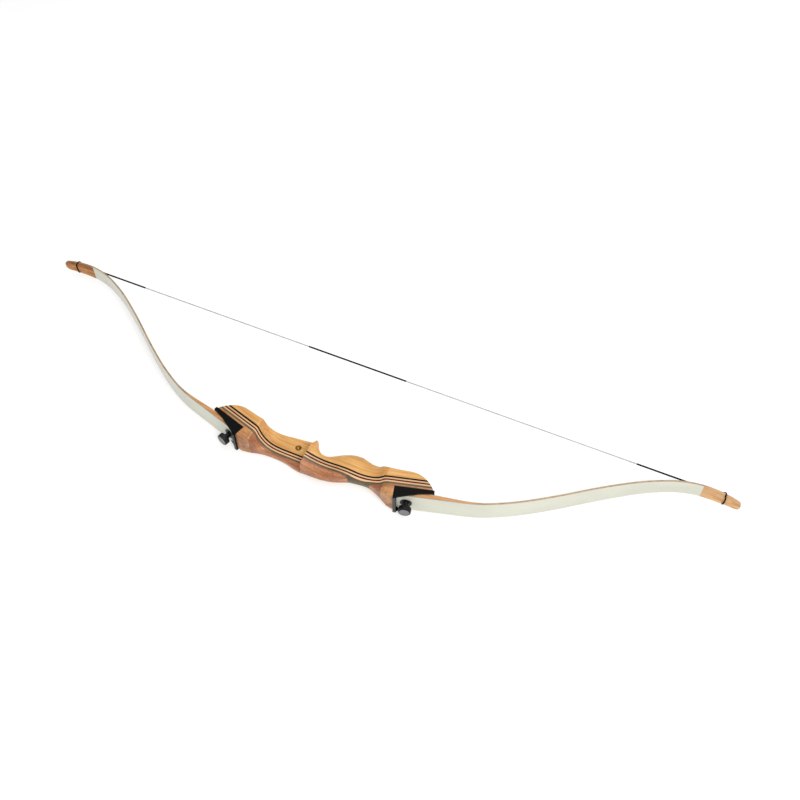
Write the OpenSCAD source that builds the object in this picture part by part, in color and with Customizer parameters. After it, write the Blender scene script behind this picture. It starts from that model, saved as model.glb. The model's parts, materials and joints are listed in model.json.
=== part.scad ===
// Takedown recurve bow, strung, lying on its right side on a flat surface.
// X runs along the bow: the upper limb points to -X and the lower limb to +X.
// +Y is the archer's side, where the string is, and -Y the target side.
// +Z is the archer's left, where the arrow shelf and the sight window are.
// Inside the file the bow is drawn about its own middle plane z = 0, with the straight
// string on y = 0, and one move at the end stands it on the surface.

/* [Riser] */
// Width of the riser across its flat sides, at the limb pads
riser_w = 50.5; // [48:0.5:51.5]
// Distance from the string line to the middle of the maroon lamination at the grip
lamination_drop = 257; // [235:1:275]
// Half the length over which the laminations run straight, past grip and window
straight_half = 76; // [66:1:84]
// Radius of the bend that turns the laminations up to the limb pads
bend_r = 200; // [160:5:260]
// Angle of the limb pads to the string line
pad_angle = 16; // [12:0.5:20]
// Position of the inner end of each limb pad, measured along the laminations
pad_start = 160.7; // [156:0.1:168]
// Length of the wood from the inner end of a pad to the end of the riser
pad_wood = 73.9; // [68:0.1:80]
// Height of the wood from the pad to the crest of its belly side
pad_height = 38.1; // [34:0.1:44]

/* [Laminations] */
// Thickness of the maroon lamination
maroon_t = 3.1; // [2.5:0.1:5]
// Thickness of each of the two cream laminations
cream_t = 2.9; // [2:0.1:4.5]
// Thickness of the black lamination
black_t = 3.8; // [1.5:0.1:4]
// Thickness of the olive lamination
olive_t = 4.3; // [3:0.1:4.6]
// Least thickness of hardwood left under a limb pad
pad_hardwood = 3.85; // [2:0.05:5]

/* [Grip and window] */
// Position of the arrow shelf, from the middle of the riser
shelf_s = -25.5; // [-32:0.5:-20]
// Left half width of the riser at the arrow shelf
shelf_w = 21; // [17:0.5:22]
// Distance that the sight window is cut past the middle plane
window_past = 6.5; // [3:0.5:8]
// Depth of the belly side at the throat of the grip, from the maroon lamination
throat_d = 20.5; // [16:0.5:26]
// Depth of the belly side at the palm swell
palm_d = 47; // [42:0.5:52]
// Depth of the back at the front bulge of the grip
bulge_d = 27.5; // [22:0.5:32]

/* [Limb pockets] */
// Width of a pocket, a little proud of the wood
pocket_w = 51.5; // [50.5:0.1:56]
// Length of a pocket along the pad
pocket_l = 76; // [70:0.5:84]
// Thickness of the pocket floor under the limb
pocket_floor = 7.4; // [6:0.1:9]
// Thickness of the end wall that the limb butt faces
pocket_wall = 6; // [4:0.1:8]
// Height of the end wall above the pad
wall_height = 27.5; // [24:0.1:32]
// Clearance between the limb and the pocket's cheeks, and before its end wall
limb_clear = 0.1; // [0.05:0.05:0.3]

/* [Limbs] */
// Width of a limb in its pocket
limb_w = 46; // [42:0.1:47.5]
// Width of a limb where the tip overlay starts
overlay_w = 35; // [32:0.5:37]
// Width of a limb at the string nocks
nock_w = 28; // [24:0.5:30]
// Thickness of the butt, over the wedge
butt_t = 11; // [9.5:0.1:12]
// Thickness of the working limb
limb_t = 4.2; // [3.6:0.1:5.5]
// Thickness of each fibreglass face
glass_t = 0.9; // [0.7:0.05:1.2]
// Thickness of the tip overlay at the nocks
overlay_t = 2.4; // [1.8:0.1:4]
// Length of a limb along its back, from butt to tip
limb_l = 661; // [655:1:668]
// Distance from the tip's end back to the string nocks
nock_back = 32; // [26:1:38]
// Distance from the tip's end back to the start of the overlay
overlay_back = 74; // [66:1:84]
// Radius of the string nocks
nock_r = 2.4; // [2:0.1:3]

/* [Limb bolts] */
// Distance of the bolt from the inner end of the pad
bolt_t = 24.5; // [22:0.5:30]
// Radius of the bolt's thread
bolt_r = 3.97; // [3.5:0.01:4.5]
// Radial clearance of the bolt in its threaded insert
bolt_fit = 0.05; // [0.02:0.01:0.1]
// Radius of the holes that the bolt passes freely
bolt_hole_r = 4.6; // [4.6:0.05:5]
// Length of the bolt below the pad, inside the riser
bolt_in = 15; // [12:0.5:18]
// Outer radius of the brass insert
insert_r = 6.5; // [5.5:0.1:7.5]
// Length of the brass insert
insert_l = 17; // [12:0.5:19]
// Radius of the washer plate under the knob
washer_r = 11.4; // [10:0.1:13]
// Thickness of the washer plate
washer_t = 1.8; // [1.2:0.1:2.5]
// Radius of the knob's neck
neck_r = 5.5; // [5.4:0.1:7]
// Length of the knob's neck
neck_l = 9.4; // [7:0.1:12]
// Radius of the knob
knob_r = 12.2; // [11:0.1:15]
// Thickness of the knob
knob_h = 11; // [8:0.1:14]
// Gap under the washer plate, which a turn of the knob closes
seat_gap = 0.1; // [0.05:0.05:0.3]

/* [Locating pins] */
// Distance of the locating pin from the inner end of the pad
pin_t = 52; // [44:0.5:60]
// Radius of the locating pins
pin_r = 3; // [2.5:0.1:3.5]
// Length of a locating pin above the pad
pin_out = 16; // [12:0.5:18]
// Length of a locating pin inside the riser
pin_in = 14; // [10:0.5:17]
// Radial clearance of the locating pin in pocket and limb
pin_fit = 0.1; // [0.05:0.01:0.15]

/* [Bushings] */
// Distance of the plunger bushing above the arrow shelf
plunger_up = 28.5; // [24:0.5:34]
// Distance of plunger and sight bushings from the maroon lamination, towards the archer
bushing_d = 22.5; // [17:0.5:28]
// Thread radius of the plunger bushing
plunger_r = 3.97; // [3.5:0.01:4.5]
// Outer radius of the plunger bushing
plunger_outer_r = 6.5; // [5.5:0.1:7]
// Depth of the plunger bushing below the face of the sight window
plunger_sink = 2; // [0.5:0.1:3]
// Distance of the nearer sight bushing above the arrow shelf
sight_up = 52; // [46:0.5:58]
// Distance between the two sight bushings
sight_pitch = 33.3; // [28:0.1:36]
// Thread radius of the sight bushings
sight_r = 2.41; // [2:0.01:3]
// Outer radius of the sight bushings
sight_outer_r = 4; // [3.6:0.1:5]
// Length of the sight bushings
sight_l = 12; // [8:0.5:14]

/* [String] */
// Radius of the bundle of strands
strand_r = 1.3; // [1:0.05:1.6]
// Thickness of the serving thread wound on the string
serving_t = 0.5; // [0.3:0.05:0.8]
// Distance from the middle of the bow to the inner end of each end serving
end_serving = 561.5; // [530:0.5:600]
// Upper end of the centre serving, above the middle of the bow
centre_up = 153; // [120:1:180]
// Lower end of the centre serving, below the middle of the bow
centre_down = 73; // [50:1:100]
// Distance from the nocks back to where the string loops divide
loop_l = 22; // [18:1:26]

/* [Hidden] */
$fn = 48;

UPPER = -1;
LOWER = 1;

// Depths of the glue lines, from the middle of the maroon lamination to the back
MAROON_BACK = maroon_t / 2;
CREAM_BACK = MAROON_BACK + cream_t;
OLIVE_BACK = CREAM_BACK + olive_t;
PAD_D = OLIVE_BACK + pad_hardwood;
BLACK_BELLY = CREAM_BACK + black_t;

// The laminations' middle line: straight past the grip, one bend, straight over the pads
BEND_L = bend_r * pad_angle * PI / 180;
BEND_X = straight_half + bend_r * sin(pad_angle);
BEND_Y = -lamination_drop + bend_r * (1 - cos(pad_angle));

function clamp01(t) = min(1, max(0, t));
function side(s) = s < 0 ? -1 : 1;
function slope(s) = pad_angle * clamp01((abs(s) - straight_half) / BEND_L);
function mid_x(a) = a < straight_half ? a
    : a < straight_half + BEND_L ? straight_half + bend_r * sin(slope(a))
    : BEND_X + (a - straight_half - BEND_L) * cos(pad_angle);
function mid_y(a) = a < straight_half ? -lamination_drop
    : a < straight_half + BEND_L ? -lamination_drop + bend_r * (1 - cos(slope(a)))
    : BEND_Y + (a - straight_half - BEND_L) * sin(pad_angle);

// Point at distance s along the laminations and depth d towards the back
function riser_point(s, d) = [side(s) * (mid_x(abs(s)) + d * sin(slope(s))),
    mid_y(abs(s)) - d * cos(slope(s))];

// A table of hand-picked values with its corners softened
function soft(s, table, h = 5) = (lookup(s - h, table) + 2 * lookup(s, table)
    + lookup(s + h, table)) / 4;

// Rounded end of the wood beyond the crest of each pad
CREST = pad_start + 25.3;
END = pad_start + pad_wood;
function end_depth(a) = PAD_D - pad_height * pow(1 - pow((a - CREST) / (END - CREST), 2), 0.75);
function end_station(d) = CREST + (END - CREST) * sqrt(1 - pow((PAD_D - d) / pad_height, 4 / 3));

// Belly side of the wood: window above the shelf, beak, throat, palm swell, flare to the pad
CREST_D = PAD_D - pad_height;
BELLY = [[-200, CREST_D], [-176, CREST_D - 0.5], [-158, CREST_D - 1.5], [-140, -29.5], [-125, -33.5],
    [-98, -38], [-70, -42], [-37, -46], [-24, -47.5], [-19.5, -45], [-15, -36], [-10, -28],
    [-3, -22], [5, -throat_d], [13, -throat_d - 1.5], [23, -27], [36, -35], [50, -41.5],
    [64, -45.5], [78, -palm_d], [92, -44.5], [105, -40], [120, -35], [135, -31],
    [155, CREST_D - 2], [176, CREST_D - 0.5], [200, CREST_D]];
function belly_depth(s) = abs(s) > CREST ? end_depth(abs(s)) : soft(s, BELLY, 3);

// Back of the wood: pocket root, window, front bulge of the grip, hollow, pocket root
ROOT_D = PAD_D + wall_height - 4.5;
BACK = [[-170, ROOT_D + 7], [-152, 36], [-136, 29.4], [-125, 22], [-111, 15.7], [-95, 12.4],
    [-79, 11.8], [-62, 14], [-46, 18.5], [-23, 24.5], [0, bulge_d], [18, bulge_d], [34, 24],
    [48, 18.5], [63, 10.5], [78, 6.6], [95, 6], [106, 7], [118, 11], [128, 17.5], [137, 24],
    [146, 30], [153, 34], [170, ROOT_D + 5]];
function back_depth(s) = abs(s) > pad_start ? PAD_D : min(ROOT_D, soft(s, BACK, 4));

// Half widths of the wood, to the left and to the right of the middle plane
FLAT = riser_w / 2;
WINDOW = [[-142, FLAT], [-138, FLAT - 1], [-132, 10], [-124, 2], [-112, -window_past + 2],
    [-98, -window_past], [0, -window_past]];
GRIP = [[-26, shelf_w], [-14, shelf_w - 4.5], [0, 13.5], [12, 12], [26, 12.5], [42, 14.5],
    [60, 15.5], [78, 14.5], [94, 12.5], [108, 12.5], [122, 14], [132, 17], [140, FLAT - 1],
    [144, FLAT]];
RIGHT = [[-60, FLAT], [-40, FLAT - 1], [-20, 17.5], [0, 13.5], [12, 12], [26, 12.5], [42, 14.5],
    [60, 15.5], [78, 14.5], [94, 12.5], [108, 12.5], [122, 14], [132, 17], [140, FLAT - 1],
    [144, FLAT]];
RIDGE_SLANT = 0.2;
WINDOW_SLANT = 0.28;
function left_w(s, d) = s <= shelf_s ? soft(s - WINDOW_SLANT * d * clamp01((-s - 90) / 30), WINDOW, 2)
    : s < 60 ? soft(s, GRIP, 3) : soft(s - RIDGE_SLANT * d * clamp01((s - 60) / 50), GRIP, 2);
function right_w(s, d) = s < 60 ? soft(s, RIGHT, 3)
    : soft(s - RIDGE_SLANT * d * clamp01((s - 60) / 50), RIGHT, 2);

// Rounding of the wood's edges, as widths and depths of elliptic corners
BELLY_RZ = [[-150, 5], [-125, 2], [-27, 2], [-22, 4], [-10, 8], [5, 9.5], [110, 9.5], [135, 6], [150, 5]];
BELLY_RD = [[-150, 6], [-125, 2.5], [-27, 2.5], [-22, 5], [-10, 10], [5, 14], [40, 20], [90, 20],
    [120, 12], [150, 6]];
BACK_RZ = [[-150, 4], [-120, 6], [-60, 6], [-27, 6], [-20, 8], [0, 9.5], [110, 9.5], [135, 6], [150, 4]];
BACK_RD = [[-150, 4], [-120, 8], [-60, 9], [-27, 9], [-10, 13], [30, 14], [64, 8], [110, 8], [135, 7], [150, 4]];
function corner(e, rz, rd) = e >= rd ? 0 : rz * (1 - sqrt(max(0, 1 - pow(1 - max(0, e) / rd, 2))));
// The beak over the web of the thumb is bevelled towards its edge, and the bevel fades below it
BEAK_W = 5;
BEAK_SLOPE = 0.8;
function beak(s, d) = s < shelf_s || s > 0 ? FLAT
    : BEAK_W + BEAK_SLOPE * (d - belly_depth(s)) + 0.6 * max(0, s - shelf_s - 3);
function inset(s, d) = max(corner(d - belly_depth(s), lookup(s, BELLY_RZ), lookup(s, BELLY_RD)),
    corner(back_depth(s) - d, lookup(s, BACK_RZ), lookup(s, BACK_RD)));

// Stations along the riser, closer where the shape turns quickly
STATION_STEP = 7;
STEP_W = 0.3;
END_STEPS = 7;
FINE_STEP = 3.5;
MIDDLE = concat([for (i = [-26:-22]) i * STATION_STEP], [for (i = [-43:-28]) i * FINE_STEP],
    [for (i = [-13:-5]) i * STATION_STEP], [-29, shelf_s, shelf_s + STEP_W],
    [for (i = [-11:-4]) i * 2.1], [for (i = [-2:26]) i * FINE_STEP], [for (i = [14:26]) i * STATION_STEP]);
// Least thickness at which a layer ends in a corner
EDGE = 0.3;
function reverse(v) = [for (i = [len(v) - 1:-1:0]) v[i]];
function layer_end(d1) = end_station(min(d1, PAD_D) - EDGE);

// Stations past the crest, the same for all layers: even steps to the maple's end, then each glue line
// where it meets the rounded end, and the middles between them
LAYER_ENDS = [for (d = [-BLACK_BELLY, -CREAM_BACK, -MAROON_BACK, MAROON_BACK, CREAM_BACK, OLIVE_BACK, PAD_D])
    layer_end(d)];
ROUND_END = concat([for (k = [1:END_STEPS]) CREST + (LAYER_ENDS[0] - CREST) * sin(90 * k / END_STEPS)],
    [for (i = [1:len(LAYER_ENDS) - 1]) each [(LAYER_ENDS[i - 1] + LAYER_ENDS[i]) / 2, LAYER_ENDS[i]]]);
function end_steps(d1) = [for (s = ROUND_END) if (s < layer_end(d1) + 0.01) s];

// Depth past the wood on either side, for the two outer pieces
OUTSIDE = 2 * palm_d;

// One lamination between depths d0 and d1, lofted over the stations, count points a side
function ring(s, d0, d1, count) =
    let (a = max(d0, belly_depth(s)), b = min(d1, back_depth(s)),
        ds = [for (k = [0:count - 1]) a + (b - a) * (1 - cos(180 * k / (count - 1))) / 2])
    concat([for (d = ds) [s, d, min(left_w(s, d) - inset(s, d), beak(s, d))]],
        [for (d = reverse(ds)) [s, d, -min(right_w(s, d) - inset(s, d), beak(s, d) + BEAK_W)]]);

module loft(stations, d0, d1, count) {
    n = 2 * count;
    points = [for (s = stations) for (p = ring(s, d0, d1, count)) concat(riser_point(p[0], p[1]), [p[2]])];
    last = (len(stations) - 1) * n;
    walls = [for (i = [0:len(stations) - 2]) for (j = [0:n - 1])
        let (a = i * n + j, b = i * n + (j + 1) % n) each [[a, b, b + n], [a, b + n, a + n]]];
    // End caps as rungs between the two sides, which keeps their triangles even
    cap = [for (k = [0:count - 2]) each [[k, k + 1, n - 1 - k], [k + 1, n - 2 - k, n - 1 - k]]];
    polyhedron(points, concat(cap, [for (t = walls) [t[0], t[2], t[1]]],
        [for (t = cap) [t[0] + last, t[2] + last, t[1] + last]]));
}

function whole_run(d1) = concat(reverse([for (s = end_steps(d1)) -s]), MIDDLE, end_steps(d1));

// Moves a piece drawn in pad coordinates onto the upper or lower pad:
// x along the pad from its inner end, y out of the pad, z across the bow
PAD_P = riser_point(pad_start + 0.05, PAD_D);
module on_pad(which) {
    mirror([which == UPPER ? 1 : 0, 0, 0]) translate([PAD_P[0], PAD_P[1], 0])
        rotate([0, 0, pad_angle]) mirror([0, 1, 0]) children();
}

// Pieces that turn about the bolt's axis, with z out of the pad
module on_bolt(which) {
    on_pad(which) translate([bolt_t, 0, 0]) rotate([-90, 0, 0]) children();
}

// Everything that is bored through the wood; a bore that a metal piece fills clears it all round
SNUG = 1 / cos(180 / $fn);
module wood_bores() {
    for (which = [UPPER, LOWER]) {
        on_bolt(which) translate([0, 0, -insert_l]) cylinder(r = insert_r * SNUG, h = insert_l + 1);
        on_bolt(which) translate([0, 0, -insert_l - 3]) cylinder(r = bolt_hole_r, h = insert_l);
        on_pad(which) translate([pin_t, 0, 0]) rotate([-90, 0, 0])
            translate([0, 0, -pin_in]) cylinder(r = pin_r * SNUG, h = pin_in + 1);
    }
}

PLUNGER_X = shelf_s - plunger_up;
BUSHING_Y = bushing_d - lamination_drop;
module plunger_axis() {
    translate([PLUNGER_X, BUSHING_Y, 0]) children();
}
module sight_axes() {
    for (i = [0, 1]) translate([shelf_s - sight_up - i * sight_pitch, BUSHING_Y, -FLAT]) children();
}

// The sight window leaves only a strip of each layer that it is cut into. Such a layer is drawn as two
// solids that meet in a hairline at the shelf, because their convex hulls then leave the window open.
HAIRLINE = 0.02;
module window_layer(d0, d1, count) {
    run = whole_run(d1);
    loft([for (s = run) if (s <= shelf_s) s], d0, d1, count);
    loft(concat([shelf_s + HAIRLINE], [for (s = run) if (s > shelf_s + STEP_W) s]), d0, d1, count);
}

module riser_maple_face() {
    color("#e3b26b") difference() {
        window_layer(-OUTSIDE, -BLACK_BELLY, 9);
        wood_bores();
        plunger_axis() cylinder(r = plunger_outer_r * SNUG, h = 3 * riser_w, center = true);
        sight_axes() translate([0, 0, -1]) cylinder(r = sight_outer_r * SNUG, h = sight_l + 1);
    }
}
module lamination(d0, d1) {
    difference() {
        window_layer(d0, d1, 2);
        wood_bores();
    }
}
module riser_black_lamination() {
    color("#2e2318") lamination(-BLACK_BELLY, -CREAM_BACK);
}
module riser_belly_cream_lamination() {
    color("#f0d8ac") lamination(-CREAM_BACK, -MAROON_BACK);
}
module riser_maroon_lamination() {
    color("#6e2418") lamination(-MAROON_BACK, MAROON_BACK);
}
module riser_back_cream_lamination() {
    color("#f0d8ac") lamination(MAROON_BACK, CREAM_BACK);
}
module riser_olive_lamination() {
    color("#6b6040") difference() {
        loft(whole_run(OLIVE_BACK), CREAM_BACK, OLIVE_BACK, 2);
        wood_bores();
    }
}

// The hollow of the back cuts the hardwood in two, where the olive lamination shows
HOLLOW = [for (s = [40:0.5:130]) if (back_depth(s) < OLIVE_BACK + EDGE) s];
HARDWOOD_RUN = concat(reverse([for (s = ROUND_END) -s]),
    [for (s = MIDDLE) if (s < -pad_start - 3) s], [-pad_start - STEP_W / 6, -pad_start],
    [for (s = MIDDLE) if (abs(s) < pad_start - 2) s], [pad_start, pad_start + STEP_W / 6],
    [for (s = MIDDLE) if (s > pad_start + 3) s], ROUND_END);
module hardwood(stations) {
    difference() {
        loft(stations, OLIVE_BACK, OUTSIDE, 7);
        wood_bores();
    }
}
module riser_upper_hardwood_back() {
    color("#b5794c") hardwood(concat([for (s = HARDWOOD_RUN) if (s < HOLLOW[0] - 1) s], [HOLLOW[0]]));
}
module riser_lower_hardwood_back() {
    far = HOLLOW[len(HOLLOW) - 1];
    color("#b5794c") hardwood(concat([far], [for (s = HARDWOOD_RUN) if (s > far + 1) s]));
}

// Cheek of a pocket: low at its outer end, sweeping up to the end wall
CHEEK = [[pocket_l, pocket_floor], [46, 12], [38, 15], [28, 17.6], [16, 21.6], [pocket_wall, 24.6],
    [0, wall_height]];
function cheek_height(t) = t < pocket_wall + 1 ? wall_height
    : soft(t, [for (i = [len(CHEEK) - 1:-1:0]) CHEEK[i]], 3);
module limb_pocket(which) {
    color("#202123") difference() {
        on_pad(which) difference() {
            translate([0, 0, -pocket_w / 2]) linear_extrude(pocket_w)
                polygon(concat([[0, 0], [0, wall_height - 0.8], [0.8, wall_height]],
                    [for (t = [pocket_wall:2:pocket_l - 2]) [t, cheek_height(t)]],
                    [[pocket_l - 1, pocket_floor], [pocket_l, pocket_floor - 1], [pocket_l, 0]]));
            // Room for the limb between the cheeks
            translate([pocket_wall, pocket_floor, -limb_w / 2 - limb_clear])
                cube([pocket_l, wall_height, limb_w + 2 * limb_clear]);
        }
        on_bolt(which) translate([0, 0, -1]) cylinder(r = bolt_hole_r, h = pocket_floor + 2);
        on_pad(which) translate([pin_t, -1, 0]) rotate([-90, 0, 0])
            cylinder(r = pin_r + pin_fit, h = pocket_floor + 2);
    }
}
module upper_limb_pocket() { limb_pocket(UPPER); }
module lower_limb_pocket() { limb_pocket(LOWER); }

module bolt_insert(which) {
    color("#b8923c") on_bolt(which) difference() {
        translate([0, 0, -insert_l]) cylinder(r = insert_r, h = insert_l);
        translate([0, 0, -insert_l - 1]) cylinder(r = bolt_r + bolt_fit, h = insert_l + 2);
    }
}
module upper_bolt_insert() { bolt_insert(UPPER); }
module lower_bolt_insert() { bolt_insert(LOWER); }

PIN_CHAMFER = 0.8;
module locating_pin(which) {
    color("silver") on_pad(which) translate([pin_t, 0, 0]) rotate([-90, 0, 0]) rotate_extrude()
        polygon([[0, -pin_in], [pin_r, -pin_in], [pin_r, pin_out - PIN_CHAMFER],
            [pin_r - PIN_CHAMFER, pin_out], [0, pin_out]]);
}
module upper_locating_pin() { locating_pin(UPPER); }
module lower_locating_pin() { locating_pin(LOWER); }

module plunger_bushing() {
    color("#b8923c") plunger_axis() translate([0, 0, -FLAT]) difference() {
        cylinder(r = plunger_outer_r, h = FLAT - window_past - plunger_sink);
        translate([0, 0, -1]) cylinder(r = plunger_r, h = riser_w);
    }
}
module sight_bushings() {
    color("#b8923c") sight_axes() difference() {
        cylinder(r = sight_outer_r, h = sight_l);
        translate([0, 0, -1]) cylinder(r = sight_r, h = sight_l + 2);
    }
}

// The tables below are drawn for a limb of this length, and are stretched to the limb's own
TABLE_L = 661;
STRETCH = limb_l / TABLE_L;
// The limb's back, as arcs: its angle to the string line at distances from the butt
LIMB_BEND = [[0, pad_angle], [130, pad_angle], [180, 26.5], [250, 34], [340, 38], [450, 34],
    [525, 24.5], [595, 4], [661, -14]];
LIMB_STEP = 11;
LIMB_N = ceil(limb_l / LIMB_STEP);
LIMB_DS = limb_l / LIMB_N;
LIMB_START = let (t = pocket_wall + limb_clear, n = pocket_floor + butt_t)
    [PAD_P[0] + t * cos(pad_angle) + n * sin(pad_angle), PAD_P[1] + t * sin(pad_angle) - n * cos(pad_angle)];
function bend_at(s) = lookup(s / STRETCH, LIMB_BEND);
function limb_path(i = 0, p = LIMB_START, done = []) = i > LIMB_N ? done
    : let (a = bend_at((i + 0.5) * LIMB_DS))
    limb_path(i + 1, p + LIMB_DS * [cos(a), sin(a)], concat(done, [p]));
LIMB_PATH = limb_path();
function limb_back(s) = let (i = min(LIMB_N - 1, floor(s / LIMB_DS)), f = s / LIMB_DS - i)
    LIMB_PATH[i] * (1 - f) + LIMB_PATH[i + 1] * f;
// The limb thins evenly about its middle line, so its back moves in a little
BACK_MOVE = [[0, 0], [120, 0], [215, 0.6], [500, 0.8], [600, 1]];
function limb_in(s, h) = limb_back(s) + (h + lookup(s / STRETCH, BACK_MOVE)) * [-sin(bend_at(s)), cos(bend_at(s))];

// Thickness over the wedge, which runs out where the limb starts to work, and along the taper
WEDGE_END = 165;
function limb_thickness(s) = lookup(s / STRETCH, [[0, butt_t], [55, butt_t - 0.4], [75, butt_t - 1],
    [95, butt_t - 2.6], [116, limb_t + 2.6], [136, limb_t + 1.3], [WEDGE_END, limb_t],
    [400, limb_t - 0.2], [TABLE_L, limb_t - 0.8]]);
function core_in(s) = min(limb_t, limb_thickness(s)) - glass_t;
NOCK_S = limb_l - nock_back;
OVERLAY_S = limb_l - overlay_back;

// Limb seen from the back: parallel, then a long taper, waisted at the nocks, round at the tip
BUTT_R = 7;
TIP_R = 7;
WIDTHS = [[0, limb_w], [280 * STRETCH, limb_w], [400 * STRETCH, limb_w - 1.5],
    [450 * STRETCH, limb_w - 4], [500 * STRETCH, limb_w - 7],
    [OVERLAY_S, overlay_w], [NOCK_S - 18, nock_w + 3], [NOCK_S, nock_w], [NOCK_S + 12, nock_w - 2],
    [limb_l, nock_w - 8]];
function tip_cut(s) = s < limb_l - TIP_R ? 0
    : TIP_R - sqrt(max(0, TIP_R * TIP_R - pow(s - limb_l + TIP_R, 2)));
function butt_cut(s) = s >= BUTT_R ? 0 : BUTT_R - sqrt(max(0, BUTT_R * BUTT_R - pow(BUTT_R - s, 2)));
function half_width(s) = soft(s, WIDTHS, 8) / 2 - tip_cut(s) - butt_cut(s);
OUTLINE_S = concat([0, 1, 2.5, 4.5], [for (i = [0:47]) BUTT_R + i * (limb_l - TIP_R - BUTT_R) / 47],
    [limb_l - 4.5, limb_l - 2.5, limb_l - 1, limb_l]);
module limb_plate() {
    rotate([90, 0, 0]) translate([0, 0, -60]) linear_extrude(riser_w + lamination_drop + 100) difference() {
        polygon(concat([for (s = OUTLINE_S) [limb_back(s)[0], half_width(s)]],
            [for (s = reverse(OUTLINE_S)) [limb_back(s)[0], -half_width(s)]]));
        for (e = [-1, 1]) translate([limb_back(NOCK_S)[0], e * half_width(NOCK_S)]) circle(r = nock_r, $fn = 24);
    }
}
// Layer of the limb between two lines along its length
module limb_layer(which, lower, upper) {
    mirror([which == UPPER ? 1 : 0, 0, 0]) difference() {
        intersection() {
            translate([0, 0, -limb_w]) linear_extrude(2 * limb_w) polygon(concat(lower, reverse(upper)));
            limb_plate();
        }
        on_pad(LOWER) translate([bolt_t, pocket_floor - 1, 0]) rotate([-90, 0, 0])
            cylinder(r = bolt_hole_r, h = butt_t + 4);
        on_pad(LOWER) translate([pin_t, pocket_floor - 1, 0]) rotate([-90, 0, 0])
            cylinder(r = pin_r + pin_fit, h = pin_out - pocket_floor + 1.5);
    }
}
ALL_S = [for (i = [0:LIMB_N]) i * LIMB_DS];
function line_at(h, run = ALL_S) = [for (s = run) limb_in(s, h)];
BELLY_LINE = [for (s = ALL_S) limb_in(s, limb_thickness(s))];
BELLY_GLUE = [for (s = ALL_S) limb_in(s, limb_thickness(s) - glass_t)];
CORE_GLUE = [for (s = ALL_S) limb_in(s, core_in(s))];
WEDGE_RUN = [for (s = ALL_S) if (s < (WEDGE_END - 6) * STRETCH) s];

module limb_back_glass(which) {
    color("#dfe0d6") limb_layer(which, line_at(0), line_at(glass_t));
}
module limb_core(which) {
    color("#d9a05c") limb_layer(which, line_at(glass_t), CORE_GLUE);
}
module limb_wedge(which) {
    color("#c98d4d") limb_layer(which, [for (s = WEDGE_RUN) limb_in(s, core_in(s))],
        [for (s = WEDGE_RUN) limb_in(s, limb_thickness(s) - glass_t)]);
}
module limb_belly_glass(which) {
    color("#dfe0d6") limb_layer(which, BELLY_GLUE, BELLY_LINE);
}
module upper_limb_back_glass() { limb_back_glass(UPPER); }
module upper_limb_core() { limb_core(UPPER); }
module upper_limb_wedge() { limb_wedge(UPPER); }
module upper_limb_belly_glass() { limb_belly_glass(UPPER); }
module lower_limb_back_glass() { limb_back_glass(LOWER); }
module lower_limb_core() { limb_core(LOWER); }
module lower_limb_wedge() { limb_wedge(LOWER); }
module lower_limb_belly_glass() { limb_belly_glass(LOWER); }

// Wooden overlay on the back of the tip, feathered at its inner end
OVERLAY_FEATHER = 0.4;
OVERLAY_RAMP = 0.4 * overlay_back;
function overlay_at(s) = lookup(s, [[OVERLAY_S, OVERLAY_FEATHER], [OVERLAY_S + OVERLAY_RAMP, overlay_t],
    [limb_l - 10, overlay_t], [limb_l, overlay_t - 1.4]]);
OVERLAY_RUN = concat([OVERLAY_S], [for (s = ALL_S) if (s > OVERLAY_S + 1) s]);
module tip_overlay(which, tone) {
    color(tone) limb_layer(which, [for (s = OVERLAY_RUN) limb_in(s, -overlay_at(s))], line_at(0, OVERLAY_RUN));
}
module upper_tip_overlay() { tip_overlay(UPPER, "#a8663a"); }
module lower_tip_overlay() { tip_overlay(LOWER, "#dcae76"); }

// Limb bolt: washer plate, knob with its neck, and the steel stud moulded into the knob
SEAT_N = pocket_floor + butt_t + seat_gap;
NECK_N = SEAT_N + washer_t;
KNOB_N = NECK_N + neck_l;
FACE_N = KNOB_N + knob_h;
STUD_IN_KNOB = 12;
STUD_FIT = 0.02;
module bolt_washer(which) {
    color("#26272a") on_bolt(which) translate([0, 0, SEAT_N]) difference() {
        rotate_extrude() polygon([[0, 0], [washer_r, 0], [washer_r, washer_t - 0.5],
            [washer_r - 0.5, washer_t], [0, washer_t]]);
        translate([0, 0, -1]) cylinder(r = bolt_r + bolt_fit, h = washer_t + 2);
    }
}
module bolt_knob(which) {
    color("#2a2b2d") on_bolt(which) difference() {
        rotate_extrude() polygon([[0, NECK_N + bolt_fit], [neck_r + 1, NECK_N + bolt_fit],
            [neck_r + 1, NECK_N + 1.5], [neck_r, NECK_N + 2.5], [neck_r, KNOB_N - 1.5], [neck_r + 2, KNOB_N],
            [knob_r - 1, KNOB_N], [knob_r, KNOB_N + 1], [knob_r, FACE_N - 1.5], [knob_r - 1.5, FACE_N],
            [0, FACE_N]]);
        cylinder(r = bolt_r + STUD_FIT, h = NECK_N + STUD_IN_KNOB);
    }
}
module limb_bolt(which) {
    color("silver") on_bolt(which) rotate_extrude() polygon([[0, -bolt_in], [bolt_r - 1, -bolt_in],
        [bolt_r, -bolt_in + 1], [bolt_r, NECK_N + STUD_IN_KNOB], [0, NECK_N + STUD_IN_KNOB]]);
}
module upper_bolt_washer() { bolt_washer(UPPER); }
module upper_bolt_knob() { bolt_knob(UPPER); }
module upper_limb_bolt() { limb_bolt(UPPER); }
module lower_bolt_washer() { bolt_washer(LOWER); }
module lower_bolt_knob() { bolt_knob(LOWER); }
module lower_limb_bolt() { limb_bolt(LOWER); }

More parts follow.
